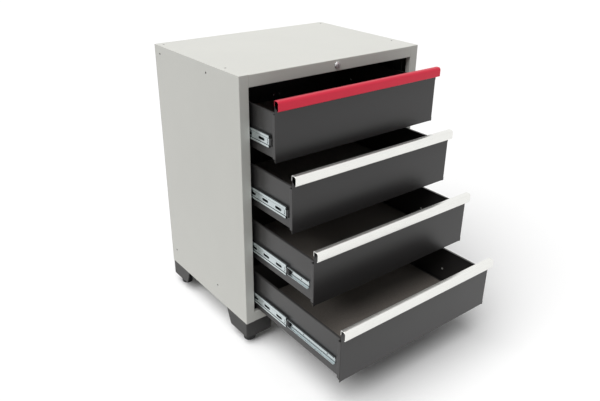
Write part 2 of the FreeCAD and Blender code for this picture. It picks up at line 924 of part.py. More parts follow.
def drawer_liner(drawer):
    """Soft mat on the floor of the drawer."""
    low = front_bottom(drawer) + box_floor_height + drawer_gauge
    half = box_half - liner_side_inset
    front = front_flange + liner_end_inset
    rear = front_flange + box_length - liner_end_inset
    corners = [(-half, front), (half, front), (half, rear), (-half, rear)]
    return plate("plan", corners, low, low + liner_thickness, [4, 4, 4, 4])


def drawer_handle(drawer):
    """Extruded pull that hooks over the top edge of the front, open below and at its ends."""
    low = front_bottom(drawer)
    half = handle_gauge / 2
    top = low + handle_top - half
    web = drawer_gauge + half
    face = -handle_reach + half
    face_low = low + handle_top - handle_face_height
    section = [
        (web, top + half - handle_web_height),
        (web, top),
        (face, top),
        (face, face_low + half),
        (face + handle_lip, face_low + half),
    ]
    bends = [handle_fold, handle_round, handle_fold]
    return folded_sheet("side", section, handle_gauge, -front_half, front_half, bends)


# Lock

def lock_housing():
    """Flanged barrel in the top rail, and the nut behind it."""
    start = -lock_flange_thickness
    length = lock_flange_thickness
    flange = rod(lock_flange_radius, (0, start, lock_height), (0, 1, 0), length)
    rim = [edge for edge in flange.Edges if edge.BoundBox.YMax < start + tiny]
    flange = flange.makeFillet(lock_flange_round, rim)
    barrel = rod(lock_barrel_radius, (0, start, lock_height), (0, 1, 0), lock_barrel_length - start)
    bore = rod(plug_radius + plug_clearance, (0, start - 1, lock_height), (0, 1, 0), lock_barrel_length + 10)
    housing = joined(flange, barrel).cut(bore)
    nut = rod(lock_nut_radius, (0, panel_gauge, lock_height), (0, 1, 0), lock_nut_thickness)
    thread = rod(lock_barrel_radius + lock_hole_clearance / 2, (0, 0, lock_height), (0, 1, 0), lock_barrel_length)
    return [housing, nut.cut(thread)]


def lock_plug():
    """Turning plug with a key slot in its face."""
    start = -lock_flange_thickness - plug_stand_out
    plug = rod(plug_radius, (0, start, lock_height), (0, 1, 0), lock_barrel_length + 1 - start)
    rim = [edge for edge in plug.Edges if edge.BoundBox.YMax < start + tiny]
    plug = plug.makeFillet(plug_stand_out * 0.8, rim)
    half_height = key_slot_height / 2
    half_width_of_slot = key_slot_width / 2
    key_slot = box(-half_width_of_slot, half_width_of_slot, start - 1, start + key_slot_depth,
                   lock_height - half_height, lock_height + half_height)
    return plug.cut(key_slot)


def bar_face():
    """Y of the front face of the lock bar."""
    return back_face - bar_wall_gap - bar_gauge / 2


def crank_offset():
    """Distance of the crank pin from the rod for a quarter turn to lift the bar by its travel."""
    return bar_travel / (2 * math.sin(math.radians(45)))


def lock_rod():
    """Rod from the plug to the back, with a cam disc in front and a crank pin behind."""
    start = lock_barrel_length + 1
    crank_rear = bar_face() - crank_thickness
    crank_front = crank_rear - crank_thickness
    disc = rod(cam_radius, (0, start, lock_height), (0, 1, 0), cam_thickness)
    shaft = rod(rod_radius, (0, start, lock_height), (0, 1, 0), crank_rear - start)
    arm = rod(crank_radius, (0, crank_front, lock_height), (0, 1, 0), crank_thickness)
    offset = crank_offset() * math.cos(math.radians(45))
    pin_length = crank_thickness * 2 + bar_gauge + 1
    pin = rod(crank_pin_radius, (offset, crank_front, lock_height - offset), (0, 1, 0), pin_length)
    return joined(disc, shaft, arm, pin)


def finger_height(drawer):
    """Middle of the flat part of a finger above the floor, when the bar is down."""
    lip_end = front_bottom(drawer) + catch_height_in_drawer + catch_base - catch_lip
    return lip_end - finger_clearance - finger_tip_height + finger_gauge / 2


def lock_bar():
    """Sliding bar with a finger for each drawer and a slotted head for the crank pin."""
    face = bar_face()
    left = bar_centre_x - bar_width / 2
    right = bar_centre_x + bar_width / 2
    pin_x = crank_offset() * math.cos(math.radians(45))
    pin_z = lock_height - pin_x
    reach = crank_pin_radius + crank_slot_clearance
    slot_low = pin_x - reach
    slot_high = crank_offset() + reach
    low = finger_height(drawer_count - 1) - bar_foot_drop
    head_top = pin_z + reach + bar_head_edge
    strip = box(left, right, face, face + bar_gauge, low, head_top)
    head = box(slot_low - bar_head_edge, right, face, face + bar_gauge, pin_z - bar_head_height, head_top)
    tip = face - finger_reach
    fingers = []
    for drawer in range(drawer_count):
        height = finger_height(drawer)
        corners = [
            (face + bar_gauge / 2, height),
            (tip + finger_gauge / 2, height),
            (tip + finger_gauge / 2, height + finger_tip_height - finger_gauge / 2),
        ]
        start = bar_centre_x - finger_width / 2
        fingers.append(folded_sheet("side", corners, finger_gauge, start, start + finger_width))
    bar = joined(strip, head, *fingers)
    middle = ((slot_low + slot_high) / 2, pin_z)
    return bar.cut(slot("front", middle, slot_high - slot_low, 2 * reach, face - 1, face + bar_gauge + 1))


def lock_guides():
    """Guide blocks of the lock bar on the back panel, and the block that carries the rod."""
    face = bar_face()
    gap = seat_gap
    left = bar_centre_x - bar_width / 2
    right = bar_centre_x + bar_width / 2
    blocks = []
    for drawer in guided_drawers:
        low = front_bottom(drawer) + guide_height_in_drawer
        block = box(left - guide_wall, right + guide_wall, face - guide_front_wall, back_face, low, low + guide_height)
        way = box(left - gap, right + gap, face - gap, face + bar_gauge + gap, low - 1, low + guide_height + 1)
        blocks.append(block.cut(way))
    rear = bar_face() - 2 * crank_thickness - 2
    half = rod_block_width / 2
    carrier = box(-half, half, rear - rod_block_thickness, rear, lock_height - rod_block_drop,
                  carcass_top - panel_gauge)
    bore = rod(rod_radius + rod_clearance, (0, rear - rod_block_thickness - 1, lock_height), (0, 1, 0),
               rod_block_thickness + 2)
    return blocks + [carrier.cut(bore)]


def write_carcass():
    """Panels, posts, screws, brackets and feet."""
    side = side_panel()
    save("side_panel_left", side)
    save("side_panel_right", mirrored(side))
    save("top_panel", top_panel())
    save("bottom_panel", bottom_panel())
    save("back_panel", back_panel())
    save("panel_screws", panel_screws())
    save("slide_posts", slide_posts())
    corner_pieces = {"foot_bracket": foot_bracket(), "levelling_foot": levelling_foot()}
    for name, front_left in corner_pieces.items():
        save(name + "_front_left", front_left)
        save(name + "_front_right", mirrored(front_left))
        save(name + "_rear_left", reversed_in_depth(front_left))
        save(name + "_rear_right", reversed_in_depth(mirrored(front_left)))


def write_lock():
    """Lock, rod, bar and guides."""
    save("lock_housing", lock_housing())
    save("lock_plug", lock_plug())
    save("lock_rod", lock_rod())
    save("lock_bar", lock_bar())
    save("lock_guides", lock_guides())


def write_drawer(drawer):
    """One drawer and its pair of slides, moved out to where the drawer stands."""
    name = "drawer_" + str(drawer + 1)
    height = slide_heights()[drawer]
    opening = drawer_openings[drawer]
    middle_out = min(opening, middle_travel)
    save(name + "_cabinet_rails", pair(cabinet_rail(height)))
    save(name + "_outer_ball_cages", moved_all(pair(outer_cage(height)), -middle_out / 2))
    save(name + "_middle_rails", moved_all(pair(middle_rail(height)), -middle_out))
    save(name + "_rail_bumpers", moved_all(pair(bumper(height)), -middle_out))
    upper, lower = inner_cages(height)
    inner_out = middle_out + (opening - middle_out) / 2
    save(name + "_inner_ball_cages", moved_all(pair(upper) + pair(lower), -inner_out))
    save(name + "_drawer_rails", moved_all(pair(drawer_rail(height)), -opening))
    save(name + "_box", moved_all([drawer_box(drawer), lock_catch(drawer)], -opening))
    save(name + "_front", moved(drawer_front(drawer), y=-opening))
    save(name + "_handle", moved(drawer_handle(drawer), y=-opening))
    save(name + "_liner", moved(drawer_liner(drawer), y=-opening))


def moved_all(shapes, y):
    """Copies of several shapes moved in depth."""
    return [moved(shape, y=y) for shape in shapes]


os.makedirs("parts", exist_ok=True)
write_carcass()
write_lock()
for drawer_number in range(drawer_count):
    write_drawer(drawer_number)
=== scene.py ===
"""Tool cabinet: finishes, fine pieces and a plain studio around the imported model.

Metres. X runs left to right, Y from the front to the back, Z up from the floor.
"""

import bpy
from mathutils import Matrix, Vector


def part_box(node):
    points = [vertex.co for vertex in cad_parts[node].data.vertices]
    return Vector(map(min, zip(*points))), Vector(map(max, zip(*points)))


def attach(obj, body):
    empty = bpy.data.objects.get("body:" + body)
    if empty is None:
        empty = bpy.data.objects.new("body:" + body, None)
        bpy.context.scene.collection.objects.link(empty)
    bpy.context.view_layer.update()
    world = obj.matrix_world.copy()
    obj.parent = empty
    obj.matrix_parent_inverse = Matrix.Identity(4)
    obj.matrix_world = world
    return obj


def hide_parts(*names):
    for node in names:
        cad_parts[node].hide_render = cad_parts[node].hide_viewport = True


bl_info = {
    "name": "Tool Cabinet",
    "version": (1, 0, 0),
    "blender": (4, 5, 0),
    "location": "3D View > Sidebar > Cabinet",
    "description": "Gives the packed tool cabinet its finishes, fine pieces and a plain studio",
    "category": "Object",
}

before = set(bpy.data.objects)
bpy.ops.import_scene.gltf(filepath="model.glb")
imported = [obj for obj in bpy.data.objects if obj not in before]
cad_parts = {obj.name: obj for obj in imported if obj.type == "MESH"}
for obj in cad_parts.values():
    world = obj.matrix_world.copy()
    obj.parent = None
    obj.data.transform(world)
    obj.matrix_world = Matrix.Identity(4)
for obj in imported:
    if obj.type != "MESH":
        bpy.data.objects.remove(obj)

import math

import bpy
import numpy as np
from bpy.props import FloatProperty, FloatVectorProperty, IntProperty, PointerProperty
from bpy.types import Operator, Panel, PropertyGroup
from mathutils import Matrix

DRAWERS = (1, 2, 3, 4)
CORNERS = ("front_left", "front_right", "rear_left", "rear_right")
PANELS = ("side_panel_left", "side_panel_right", "top_panel", "bottom_panel", "back_panel")

# Where the carcass's light skin ends and its painted inside shade begins, in metres
HALF_PANEL = 0.0006  # half of a panel's sheet
FRAME_DEPTH = 0.0185  # the columns and rails, from the front
BACK_MARGIN = 0.0013  # the back panel's sheet

# Fine sizes of a foot and of the heads, in metres
PAD_SHOULDER = 0.005
PAD_BASE_ROUND = 0.005
PAD_EDGE_ROUND = 0.0025
PAD_TOP_ROUND = 0.0004
TINY_ROUND = 0.0002
AXIS_HOLE = 0.0003  # points nearer to the axis than this give way to a pole
STEM_STEP = 0.0006
STEM_END = 0.001
REAR_WALL_BEHIND_LINER = 0.005

# Counts of points
RINGS_PER_PITCH = 6
DOME_RINGS = 7
HEAD_STEPS = 24

# Shape of a small head: how far its curve turns, and the shares of its closed foot
DOME_TURN = np.pi / 2 * 0.96
DOME_FOOT_RADIUS = 0.999
DOME_FOOT_DEPTH = 0.05

# Colours of dust, as linear values
COAT_DUST = (0.42, 0.40, 0.37, 1.0)
CARCASS_DUST = (0.45, 0.43, 0.40, 1.0)
LINER_DUST = (0.20, 0.18, 0.16, 1.0)

# Strength and depth of each surface's bump
PEEL_BUMP = (0.12, 0.0004)
PORE_BUMP = (0.5, 0.0006)
LINE_BUMP, LINE_DEPTH = 0.08, 0.0002

# Darker and lighter tones of the coat's clouds and of the foam's specks
CLOUD_TONES = (0.95, 1.05)
SPECK_TONES = (0.62, 1.35)

# Zinc of the rails: how its lines are stretched, and how rough it is
RAIL_STRETCH = (700.0, 5.0, 700.0)
RAIL_ROUGHNESS = (0.20, 0.32)

# Sockets of the Mix node where it mixes colours
MIX_FIRST, MIX_SECOND, MIX_RESULT = 6, 7, 2


def linear(red, green, blue):
    """Linear colour from screen values between 0 and 255."""
    screen = np.array([red, green, blue]) / 255
    curve = np.where(screen <= 0.04045, screen / 12.92, ((screen + 0.055) / 1.055) ** 2.4)
    return tuple(float(value) for value in curve)


def colour_property(name, description, screen_values):
    """A colour that a user can change, given as screen values."""
    return FloatVectorProperty(name=name, description=description, subtype="COLOR", size=3,
                               min=0, max=1, default=linear(*screen_values))


def length_property(name, description, default):
    """A length in metres that a user can change."""
    return FloatProperty(name=name, description=description, default=default, min=0,
                         unit="LENGTH", precision=5)


class CabinetFinish(PropertyGroup):
    """Colours of the cabinet's surfaces."""

    light_coat: colour_property("Light coat", "Powder coat of the carcass", (213, 213, 207))
    # Dark colour that paints the shade inside the carcass and on the slide posts
    inside_shade: colour_property("Inside shade", "Coat inside the carcass and on the slide posts", (36, 37, 38))
    dark_coat: colour_property("Dark coat", "Powder coat of the drawers", (46, 45, 45))
    bracket_coat: colour_property("Bracket coat", "Coat of the corner brackets", (36, 35, 34))
    zinc: colour_property("Zinc", "Plating of the slides and the lock bar", (198, 207, 209))
    # Dark colour that paints the shade along the rails' formed steps
    rail_step_shade: colour_property("Rail step shade", "Shaded steps of the rails", (46, 52, 52))
    # Steel lightened to near white, which paints a glint on the rivet and rail screw heads
    dull_steel: colour_property("Dull steel", "Ball cages and screws", (150, 152, 150))
    rivet: colour_property("Rivets", "Heads of the rivets and rail screws", (240, 240, 238))
    chrome: colour_property("Chrome", "Lock barrel and plug", (196, 196, 197))
    top_pull: colour_property("Top pull", "Anodised pull of the top drawer", (214, 43, 68))
    pull: colour_property("Other pulls", "Anodised pulls of the other drawers", (242, 242, 238))
    liner: colour_property("Liner", "Mat on the floor of each drawer", (138, 131, 124))
    plastic: colour_property("Plastic", "Bumpers, bar guides and foot pads", (26, 26, 27))


class CabinetSizes(PropertyGroup):
    """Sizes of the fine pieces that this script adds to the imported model."""

    pull_wall: length_property("Pull wall", "Wall of the extruded pull", 0.002)
    pull_web: length_property("Pull web", "Height of the web behind the drawer front", 0.016)
    pull_round: length_property("Pull round", "Radius of the upper outer edge", 0.0085)
    pull_fold: length_property("Pull fold", "Outer radius of the pull's other two folds", 0.0025)
    pull_lip: length_property("Pull lip", "Depth of the lip under the face", 0.0046)
    pull_edge: length_property("Pull edge", "Small radius on the extrusion's sharp corners", 0.0003)
    thread_pitch: length_property("Thread pitch", "Pitch of the thread on a foot's stem", 0.0015)
    thread_depth: length_property("Thread depth", "Depth of that thread", 0.0008)
    stem_radius: length_property("Stem radius", "Radius over the thread's crests", 0.005)
    pad_height: length_property("Pad height", "Height of a foot's pad under the stem", 0.0357)
    pad_radius: length_property("Pad radius", "Largest radius of a pad", 0.022)
    pad_base: length_property("Pad base", "Radius of a pad on the floor", 0.0195)
    rivet_radius: length_property("Rivet radius", "Radius of a catch rivet's head", 0.0042)
    rivet_height: length_property("Rivet height", "Height of a catch rivet's head", 0.0016)
    rivet_spacing: length_property("Rivet spacing", "Distance between a catch's rivets", 0.026)
    rivet_level: length_property("Rivet level", "Height of the rivets above the front's lower edge", 0.027)
    catch_centre: length_property("Catch centre", "Offset of a catch to the right of the middle", 0.027)
    rail_gauge: length_property("Rail gauge", "Sheet thickness of the rails", 0.0012)
    step_depth: length_property("Step depth", "How far a rail's web lies behind its edges", 0.0014)
    step_margin: length_property("Step margin", "Part of each step that stays bright", 0.0001)
    middle_reach: length_property("Middle rail step", "Half the height between a middle rail's edges", 0.0125)
    drawer_reach: length_property("Drawer rail step", "Half the height between a drawer rail's edges", 0.0082)
    rail_screw_radius: length_property("Rail screw radius", "Radius of a rail screw's head", 0.0036)
    rail_screw_height: length_property("Rail screw height", "Height of a rail screw's head", 0.0014)
    rail_level: length_property("Rail level", "Height of the slides above the front's lower edge", 0.0555)
    rail_screw_front: length_property("Front rail screw", "Its distance behind the drawer front", 0.175)
    rail_screw_rear: length_property("Rear rail screw", "Its distance behind the drawer front", 0.395)
    sheet: length_property("Sheet", "Sheet thickness of a drawer", 0.001)
    arc_steps: IntProperty(name="Arc steps", description="Points on each rounded corner of an extrusion",
                           default=8, min=3, max=32)
    turn_steps: IntProperty(name="Turn steps", description="Points round each turned piece",
                            default=48, min=12, max=96)


class CabinetStudio(PropertyGroup):
    """Camera and light."""

    camera_place: FloatVectorProperty(name="Camera place", description="Where the camera stands",
                                      subtype="TRANSLATION", unit="LENGTH", size=3,
                                      default=(-1.2525, -1.4744, 1.3639))
    camera_heading: FloatProperty(name="Heading", subtype="ANGLE", default=0.6599,
                                  description="Turn of the view to the right of straight back")
    camera_pitch: FloatProperty(name="Pitch", subtype="ANGLE", default=0.4517,
                                description="Downward tilt of the view")
    camera_roll: FloatProperty(name="Roll", subtype="ANGLE", default=0.0107,
                               description="Small turn of the view about its axis")
    lens: FloatProperty(name="Lens", default=37.61, min=10, description="Focal length in millimetres")
    sky: FloatProperty(name="Sky", default=0.25, min=0,
                       description="Light that comes evenly from all round")
    key: FloatProperty(name="Key", default=2.85, min=0,
                       description="Light from above and from the left")
    key_angle: FloatProperty(name="Key softness", subtype="ANGLE", default=math.radians(60),
                             description="Angle that the key lamp fills")
    key_place: FloatVectorProperty(name="Key direction", description="From the cabinet to the key lamp",
                                   subtype="DIRECTION", size=3, default=(-0.46, -0.06, 0.885))
    floor_size: length_property("Floor size", "Side of the square floor", 60.0)
    floor_colour: colour_property("Floor", "Pale studio floor", (255, 255, 255))
    floor_bounce: FloatProperty(name="Floor bounce", default=0.38, min=0, max=1,
                                description="Share of its paleness that the floor casts back")


def finishes():
    """The colours that are set for the scene."""
    return bpy.context.scene.cabinet_finish


def sizes():
    """The sizes that are set for the scene."""
    return bpy.context.scene.cabinet_sizes


def low_corner(node):
    """Lowest corner of a node's box at rest, as an array."""
    return np.array(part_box(node)[0])


def high_corner(node):
    """Highest corner of a node's box at rest, as an array."""
    return np.array(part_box(node)[1])


# Node groups that several finishes share

def new_group(name, inputs, outputs):
    """An empty node group. inputs holds the default of each input, and outputs names the values."""
    group = bpy.data.node_groups.new(name, "ShaderNodeTree")
    for socket, default in inputs.items():
        kind = "NodeSocketVector" if isinstance(default, tuple) else "NodeSocketFloat"
        group.interface.new_socket(socket, in_out="INPUT", socket_type=kind).default_value = default
    for socket in outputs:
        group.interface.new_socket(socket, in_out="OUTPUT", socket_type="NodeSocketFloat")
    return group, group.nodes.new("NodeGroupInput"), group.nodes.new("NodeGroupOutput")


def add_node(tree, kind, settings=None, values=None):
    """A node with its settings and the values of its unlinked inputs."""
    node = tree.nodes.new(kind)
    for key, value in (settings or {}).items():
        setattr(node, key, value)
    for key, value in (values or {}).items():
        node.inputs[key].default_value = value
    return node


def calculate(tree, operation, first, second=None):
    """Output of a Math node. Each operand is a socket or a number."""
    node = add_node(tree, "ShaderNodeMath", {"operation": operation})
    for index, operand in enumerate((first, second)):
        if operand is None:
            continue
        if isinstance(operand, (int, float)):
            node.inputs[index].default_value = operand
        else:
            tree.links.new(operand, node.inputs[index])
    return node.outputs[0]


def place_parts(tree):
    """Sockets of a point's X, Y and Z on its piece."""
    place = add_node(tree, "ShaderNodeTexCoord")
    parts = add_node(tree, "ShaderNodeSeparateXYZ")
    tree.links.new(place.outputs["Object"], parts.inputs[0])
    return parts.outputs


def coat_group():
    """Powder coat: a fine orange peel, and slow clouds where the coat lies thicker."""
    group, entry, end = new_group("Coat", {"Peel Scale": 900.0, "Cloud Scale": 6.0}, ["Peel", "Cloud"])
    place = add_node(group, "ShaderNodeTexCoord")
    peel = add_node(group, "ShaderNodeTexNoise", values={"Detail": 2.0, "Roughness": 0.5})
    cloud = add_node(group, "ShaderNodeTexNoise", values={"Detail": 4.0, "Roughness": 0.6})
    for noise, scale, out in ((peel, "Peel Scale", "Peel"), (cloud, "Cloud Scale", "Cloud")):
        group.links.new(place.outputs["Object"], noise.inputs["Vector"])
        group.links.new(entry.outputs[scale], noise.inputs["Scale"])
        group.links.new(noise.outputs["Fac"], end.inputs[out])
    return group


def dust_group():
    """Thin dust: a mask that is strongest on faces that look up, broken by noise."""
    group, entry, end = new_group("Dust", {"Amount": 0.3}, ["Mask"])
    place = add_node(group, "ShaderNodeTexCoord")
    shape = add_node(group, "ShaderNodeNewGeometry")
    parts = add_node(group, "ShaderNodeSeparateXYZ")
    noise = add_node(group, "ShaderNodeTexNoise", values={"Scale": 38.0, "Detail": 6.0, "Roughness": 0.7})
    group.links.new(shape.outputs["Normal"], parts.inputs[0])
    group.links.new(place.outputs["Object"], noise.inputs["Vector"])
    upward = calculate(group, "MAXIMUM", parts.outputs["Z"], 0.0)
    broken = calculate(group, "MULTIPLY", upward, noise.outputs["Fac"])
    group.links.new(calculate(group, "MULTIPLY", broken, entry.outputs["Amount"]), end.inputs["Mask"])
    return group


def drawn_group():
    """Fine lines of drawn metal. Noise is stretched by the scale given for each axis."""
    group, entry, end = new_group("Drawn Lines", {"Stretch": (900.0, 6.0, 900.0)}, ["Lines", "Stain"])
    place = add_node(group, "ShaderNodeTexCoord")
    stretched = add_node(group, "ShaderNodeVectorMath", {"operation": "MULTIPLY"})
    lines = add_node(group, "ShaderNodeTexNoise", values={"Scale": 1.0, "Detail": 3.0, "Roughness": 0.55})
    stain = add_node(group, "ShaderNodeTexNoise", values={"Scale": 22.0, "Detail": 4.0, "Roughness": 0.6})
    group.links.new(place.outputs["Object"], stretched.inputs[0])
    group.links.new(entry.outputs["Stretch"], stretched.inputs[1])
    group.links.new(stretched.outputs[0], lines.inputs["Vector"])
    group.links.new(place.outputs["Object"], stain.inputs["Vector"])
    group.links.new(lines.outputs["Fac"], end.inputs["Lines"])
    group.links.new(stain.outputs["Fac"], end.inputs["Stain"])
    return group


def outer_group():
    """Mask that is 1 on the carcass's outer skin and front frame, and 0 inside it, where shade is painted
    dark.
    """
    group, entry, end = new_group(
        "Outer Skin", {"Half Width": 0.355, "Frame Back": 0.0, "Back": 0.4, "Top": 0.9, "Bottom": 0.1},
        ["Mask"])
    place, limit = place_parts(group), entry.outputs
    tests = (
        calculate(group, "GREATER_THAN", calculate(group, "ABSOLUTE", place["X"]), limit["Half Width"]),
        calculate(group, "LESS_THAN", place["Y"], limit["Frame Back"]),
        calculate(group, "GREATER_THAN", place["Y"], limit["Back"]),
        calculate(group, "GREATER_THAN", place["Z"], limit["Top"]),
        calculate(group, "LESS_THAN", place["Z"], limit["Bottom"]),
    )
    mask = tests[0]
    for test in tests[1:]:
        mask = calculate(group, "MAXIMUM", mask, test)
    group.links.new(mask, end.inputs["Mask"])
    return group


def step_shade_group():
    """Mask where shade is painted on the formed steps of a rail: between two depths, and near the rail's
    middle height.
    """
    group, entry, end = new_group(
        "Painted Step Shade", {"Inner Face": 0.30, "Outer Face": 0.31, "Level": 0.5, "Reach": 0.01}, ["Mask"])
    place, limit = place_parts(group), entry.outputs
    across = calculate(group, "ABSOLUTE", place["X"])
    offset = calculate(group, "ABSOLUTE", calculate(group, "SUBTRACT", place["Z"], limit["Level"]))
    mask = calculate(group, "MULTIPLY",
                     calculate(group, "GREATER_THAN", across, limit["Inner Face"]),
                     calculate(group, "LESS_THAN", across, limit["Outer Face"]))
    mask = calculate(group, "MULTIPLY", mask, calculate(group, "LESS_THAN", offset, limit["Reach"]))
    group.links.new(mask, end.inputs["Mask"])
    return group


GROUP_MAKERS = {"Coat": coat_group, "Dust": dust_group, "Drawn Lines": drawn_group,
                "Outer Skin": outer_group, "Painted Step Shade": step_shade_group}


def use_group(tree, name, values):
    """Place a shared group in a material with its own values."""
    group = bpy.data.node_groups.get(name) or GROUP_MAKERS[name]()
    node = tree.nodes.new("ShaderNodeGroup")
    node.node_tree = group
    for key, value in values.items():
        node.inputs[key].default_value = value
    return node


# Materials

def start_material(name, **values):
    """A material with only its shader, whose even values are set on the shader itself."""
    material = bpy.data.materials.new(name)
    material.use_nodes = True
    tree = material.node_tree
    tree.nodes.clear()
    even = {socket.replace("_", " "): value for socket, value in values.items()}
    shader = add_node(tree, "ShaderNodeBsdfPrincipled", values=even)
    output = add_node(tree, "ShaderNodeOutputMaterial")
    tree.links.new(shader.outputs[0], output.inputs["Surface"])
    return material, tree, shader


def scaled(colour, factor):
    """A colour made lighter or darker, and given its alpha."""
    return tuple(min(1.0, channel * factor) for channel in colour) + (1.0,)


def mix(tree, factor, first, second):
    """Output of a colour mix. Each colour is a socket or a value."""
    node = add_node(tree, "ShaderNodeMix", {"data_type": "RGBA"})
    tree.links.new(factor, node.inputs["Factor"])
    for socket, colour in ((node.inputs[MIX_FIRST], first), (node.inputs[MIX_SECOND], second)):
        if isinstance(colour, tuple):
            socket.default_value = colour
        else:
            tree.links.new(colour, socket)
    return node.outputs[MIX_RESULT]


def spread_value(tree, value, low, high):
    """Map a 0 to 1 value to a range."""
    node = add_node(tree, "ShaderNodeMapRange", values={"To Min": low, "To Max": high})
    tree.links.new(value, node.inputs["Value"])
    return node.outputs["Result"]


def add_bump(tree, shader, height, strength, distance):
    """Send a height to the shader's normal."""
    bump = add_node(tree, "ShaderNodeBump", values={"Strength": strength, "Distance": distance})
    tree.links.new(height, bump.inputs["Height"])
    tree.links.new(bump.outputs[0], shader.inputs["Normal"])


def two_tones(tree, factor, colour, tones):
    """A colour that goes from its darker to its lighter tone."""
    return mix(tree, factor, *[scaled(colour, tone) for tone in tones])


def coat_colour(tree, coat, colour):
    """A coat's colour, a little darker where its cloud is thin."""
    return two_tones(tree, coat.outputs["Cloud"], colour, CLOUD_TONES)


def coat_material(name, colour, roughness=(0.36, 0.46), dust=0.1, gloss=0.45):
    """Satin powder coat with orange peel, clouds and thin dust."""
    material, tree, shader = start_material(name, Specular_IOR_Level=gloss)
    coat = use_group(tree, "Coat", {"Peel Scale": 900.0, "Cloud Scale": 5.0})
    grime = use_group(tree, "Dust", {"Amount": dust})
    tint = mix(tree, grime.outputs["Mask"], coat_colour(tree, coat, colour), COAT_DUST)
    tree.links.new(tint, shader.inputs["Base Color"])
    tree.links.new(spread_value(tree, coat.outputs["Cloud"], *roughness), shader.inputs["Roughness"])
    add_bump(tree, shader, coat.outputs["Peel"], *PEEL_BUMP)
    return material


def carcass_material(name, outer, inner, roughness, dust):
    """Light coat on the outer skin and front frame, and inside a dark colour that paints the shade there."""
    material, tree, shader = start_material(name, Specular_IOR_Level=0.45)
    low, top = low_corner("side_panel_left"), high_corner("top_panel")
    skin = use_group(tree, "Outer Skin", {
        "Half Width": float(-low[0] - HALF_PANEL), "Frame Back": float(low[1] + FRAME_DEPTH),
        "Back": float(top[1] - BACK_MARGIN), "Top": float(top[2] - HALF_PANEL),
        "Bottom": float(low[2] + HALF_PANEL)})
    coat = use_group(tree, "Coat", {"Peel Scale": 800.0, "Cloud Scale": 4.0})
    grime = use_group(tree, "Dust", {"Amount": dust})
    # inner is the dark colour that paints the shade inside the carcass
    clean = mix(tree, skin.outputs["Mask"], coat_colour(tree, coat, inner), coat_colour(tree, coat, outer))
    tint = mix(tree, grime.outputs["Mask"], clean, CARCASS_DUST)
    tree.links.new(tint, shader.inputs["Base Color"])
    tree.links.new(spread_value(tree, coat.outputs["Cloud"], *roughness), shader.inputs["Roughness"])
    add_bump(tree, shader, coat.outputs["Peel"], *PEEL_BUMP)
    return material


def drawn_colour(tree, drawn, colour, contrast, stain, tone):
    """A metal's colour, varied by its lines, and mixed with a darker tone by up to the stain's share."""
    lined = two_tones(tree, drawn.outputs["Lines"], colour, (1 - contrast, 1 + contrast))
    return mix(tree, spread_value(tree, drawn.outputs["Stain"], 0.0, stain), lined, scaled(colour, tone))


def metal_material(name, colour, stretch, roughness, metallic=1.0, contrast=0.08, relief=LINE_BUMP):
    """Drawn or rolled metal with fine lines and faint stains."""
    material, tree, shader = start_material(name, Metallic=metallic)
    drawn = use_group(tree, "Drawn Lines", {"Stretch": stretch})
    tint = drawn_colour(tree, drawn, colour, contrast, stain=0.35, tone=0.82)
    tree.links.new(tint, shader.inputs["Base Color"])
    tree.links.new(spread_value(tree, drawn.outputs["Lines"], *roughness), shader.inputs["Roughness"])
    add_bump(tree, shader, drawn.outputs["Lines"], relief, LINE_DEPTH)
    return material


def rail_material(name, colour, step_shade_colour, faces, level, reach):
    """Bright zinc, with shade painted dark along the formed steps. faces are the depths of the web and of the
    edges.
    """
    material, tree, shader = start_material(name, Metallic=1.0)
    drawn = use_group(tree, "Drawn Lines", {"Stretch": RAIL_STRETCH})
    steps = use_group(tree, "Painted Step Shade", {
        "Inner Face": faces[0], "Outer Face": faces[1], "Level": level, "Reach": reach})
    bright = drawn_colour(tree, drawn, colour, contrast=0.1, stain=0.4, tone=0.7)
    # The mask paints shade dark along the formed steps
    tint = mix(tree, steps.outputs["Mask"], bright, tuple(step_shade_colour) + (1.0,))
    tree.links.new(tint, shader.inputs["Base Color"])
    tree.links.new(spread_value(tree, drawn.outputs["Lines"], *RAIL_ROUGHNESS), shader.inputs["Roughness"])
    add_bump(tree, shader, drawn.outputs["Lines"], LINE_BUMP, LINE_DEPTH)
    return material


def foam_material(name, colour, roughness, dust):
    """Dense foam mat: fine pores, specks and dust."""
    material, tree, shader = start_material(name, Specular_IOR_Level=0.2, Sheen_Weight=0.08)
    pores = use_group(tree, "Coat", {"Peel Scale": 420.0, "Cloud Scale": 9.0})
    grime = use_group(tree, "Dust", {"Amount": dust})
    specks = two_tones(tree, pores.outputs["Peel"], colour, SPECK_TONES)
    tint = mix(tree, grime.outputs["Mask"], specks, LINER_DUST)
    tree.links.new(tint, shader.inputs["Base Color"])
    tree.links.new(spread_value(tree, pores.outputs["Cloud"], *roughness), shader.inputs["Roughness"])
    add_bump(tree, shader, pores.outputs["Peel"], *PORE_BUMP)
    return material


def dress(node, material):
    """Give a CAD node one material."""
    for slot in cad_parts[node].material_slots:
        slot.material = material


# Surfaces worked out as whole arrays

